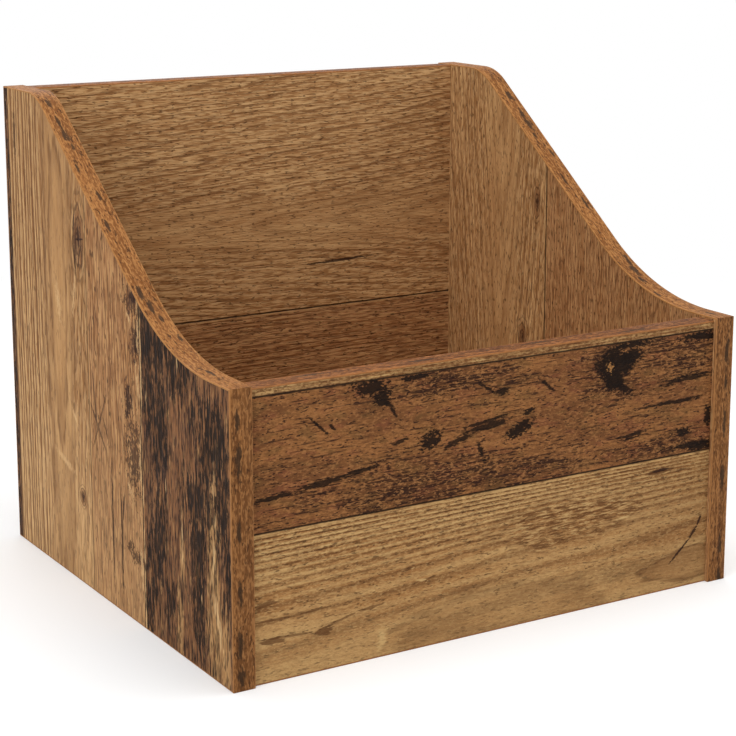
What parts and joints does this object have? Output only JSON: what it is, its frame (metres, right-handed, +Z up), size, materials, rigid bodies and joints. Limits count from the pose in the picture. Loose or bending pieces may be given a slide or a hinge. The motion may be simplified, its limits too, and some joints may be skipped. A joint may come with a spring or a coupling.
{
  "type": "record storage stand",
  "caption": "Open-topped record stand of wood-decor board: side panels sweep down from a tall back to a low front, joined with hidden cam fittings and dowels.",
  "frame": {"origin": "on the floor, under the middle of the stand's width and depth", "axes": "+X to the right seen from the front, +Y towards the tall back, +Z up; the low front panel faces -Y"},
  "size_m": [0.38, 0.34, 0.33],
  "materials": {
    "side_decor": "matte light brown weathered-wood decor on chipboard",
    "front_decor": "matte dark and light weathered-plank decor on chipboard",
    "edge_band": "satin orange-brown wood-grain edge band",
    "zinc": "bare die-cast zinc",
    "bolt_steel": "yellow-white zinc-plated steel",
    "dowel_beech": "raw beech",
    "cap_plastic": "matte brown moulded plastic"
  },
  "bodies": {
    "root": {"left_side_panel": "side_decor", "right_side_panel": "side_decor", "front_panel": "front_decor", "back_panel": "side_decor", "bottom_panel": "side_decor", "left_side_top_edge_band": "edge_band", "left_side_front_edge_band": "edge_band", "left_side_rear_edge_band": "edge_band", "left_side_bottom_edge_band": "edge_band", "right_side_top_edge_band": "edge_band", "right_side_front_edge_band": "edge_band", "right_side_rear_edge_band": "edge_band", "right_side_bottom_edge_band": "edge_band", "front_panel_top_edge_band": "edge_band", "front_panel_bottom_edge_band": "edge_band", "back_panel_top_edge_band": "edge_band", "back_panel_bottom_edge_band": "edge_band", "front_left_cam_locks": "zinc", "front_right_cam_locks": "zinc", "back_left_cam_locks": "zinc", "back_right_cam_locks": "zinc", "bottom_left_cam_locks": "zinc", "bottom_right_cam_locks": "zinc", "front_left_cam_bolts": "bolt_steel", "front_right_cam_bolts": "bolt_steel", "back_left_cam_bolts": "bolt_steel", "back_right_cam_bolts": "bolt_steel", "bottom_left_cam_bolts": "bolt_steel", "bottom_right_cam_bolts": "bolt_steel", "front_left_dowels": "dowel_beech", "front_right_dowels": "dowel_beech", "back_left_dowels": "dowel_beech", "back_right_dowels": "dowel_beech", "bottom_left_dowels": "dowel_beech", "bottom_right_dowels": "dowel_beech", "front_left_cover_caps": "cap_plastic", "front_right_cover_caps": "cap_plastic", "back_left_cover_caps": "cap_plastic", "back_right_cover_caps": "cap_plastic", "bottom_front_dowels": "dowel_beech", "bottom_back_dowels": "dowel_beech"}
  },
  "joints": []
}
